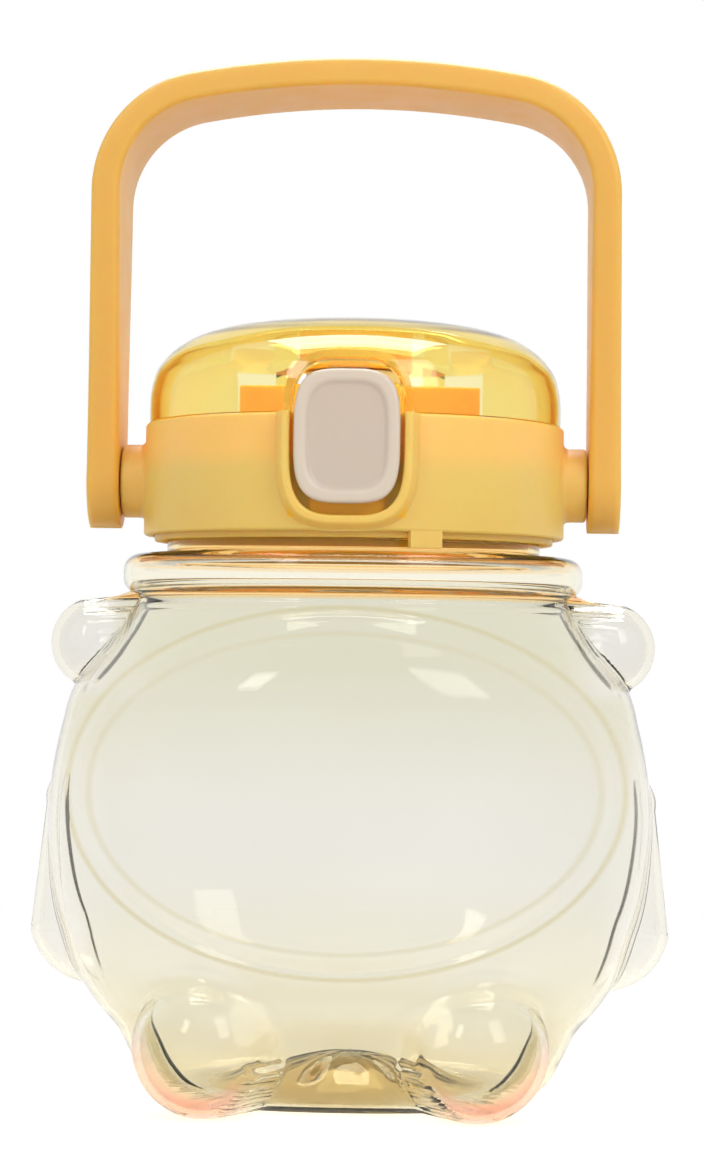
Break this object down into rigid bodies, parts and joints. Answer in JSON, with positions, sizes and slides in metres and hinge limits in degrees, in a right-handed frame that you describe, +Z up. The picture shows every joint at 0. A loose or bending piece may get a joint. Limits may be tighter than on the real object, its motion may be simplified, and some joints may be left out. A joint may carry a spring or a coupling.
{
  "type": "drinking bottle",
  "caption": "Bear-shaped clear drinking bottle with a screw lid, a transparent flip cover opened by a push button, and a swinging carrying handle.",
  "frame": {"origin": "on the floor, under the middle of the bottle", "axes": "+Z up, -Y towards the front with the push button, +X to the right seen from the front"},
  "size_m": [0.1344, 0.1092, 0.2165],
  "materials": {
    "clear_plastic": "clear glossy copolyester with a faint yellow tint",
    "amber_plastic": "glossy transparent amber",
    "yellow_plastic": "satin warm yellow",
    "cream_plastic": "satin cream",
    "white_plastic": "satin off-white",
    "silicone": "translucent matt silicone",
    "spring_steel": "drawn stainless wire"
  },
  "bodies": {
    "bottle": {"bottle_body": "clear_plastic"},
    "seal": {"neck_gasket": "silicone"},
    "lid": {"lid_base": "yellow_plastic", "lid_liner": "yellow_plastic", "button_guide": "yellow_plastic", "button_spring": "spring_steel", "spout": "white_plastic", "spout_gasket": "silicone", "vent_valve": "silicone", "hinge_pin": "spring_steel", "hinge_spring": "spring_steel", "handle_pin_left": "yellow_plastic", "handle_pin_right": "yellow_plastic"},
    "cover": {"flip_cover": "amber_plastic", "plug_retainer": "yellow_plastic", "spout_plug": "silicone"},
    "push_button": {"button": "cream_plastic"},
    "carry_handle": {"handle": "yellow_plastic"}
  },
  "joints": [
    {"name": "lid_lift", "type": "slide", "parent": "bottle", "child": "seal", "axis": [0, 0, 1], "range_m": [0, 0.01251]},
    {"name": "lid_turn", "type": "hinge", "parent": "seal", "child": "lid", "pos_m": [0, 0, 0.1169], "axis": [0, 0, 1], "range_deg": [0, 450]},
    {"name": "cover_open", "type": "hinge", "parent": "lid", "child": "cover", "pos_m": [0, 0.032, 0.1354], "axis": [-1, 0, 0], "range_deg": [0, 110]},
    {"name": "button_press", "type": "slide", "parent": "lid", "child": "push_button", "axis": [0, 1, 0], "range_m": [0, 0.0018], "stiffness_N_per_m": 700, "springref_m": -0.002, "deforming": ["button_spring"]},
    {"name": "handle_swing", "type": "hinge", "parent": "lid", "child": "carry_handle", "pos_m": [0, 0, 0.1286], "axis": [1, 0, 0], "range_deg": [-100, 100]}
  ],
  "couplings": [
    {"joint": "lid_lift", "follows": "lid_turn", "m_per_rad": 0.0015915}
  ]
}
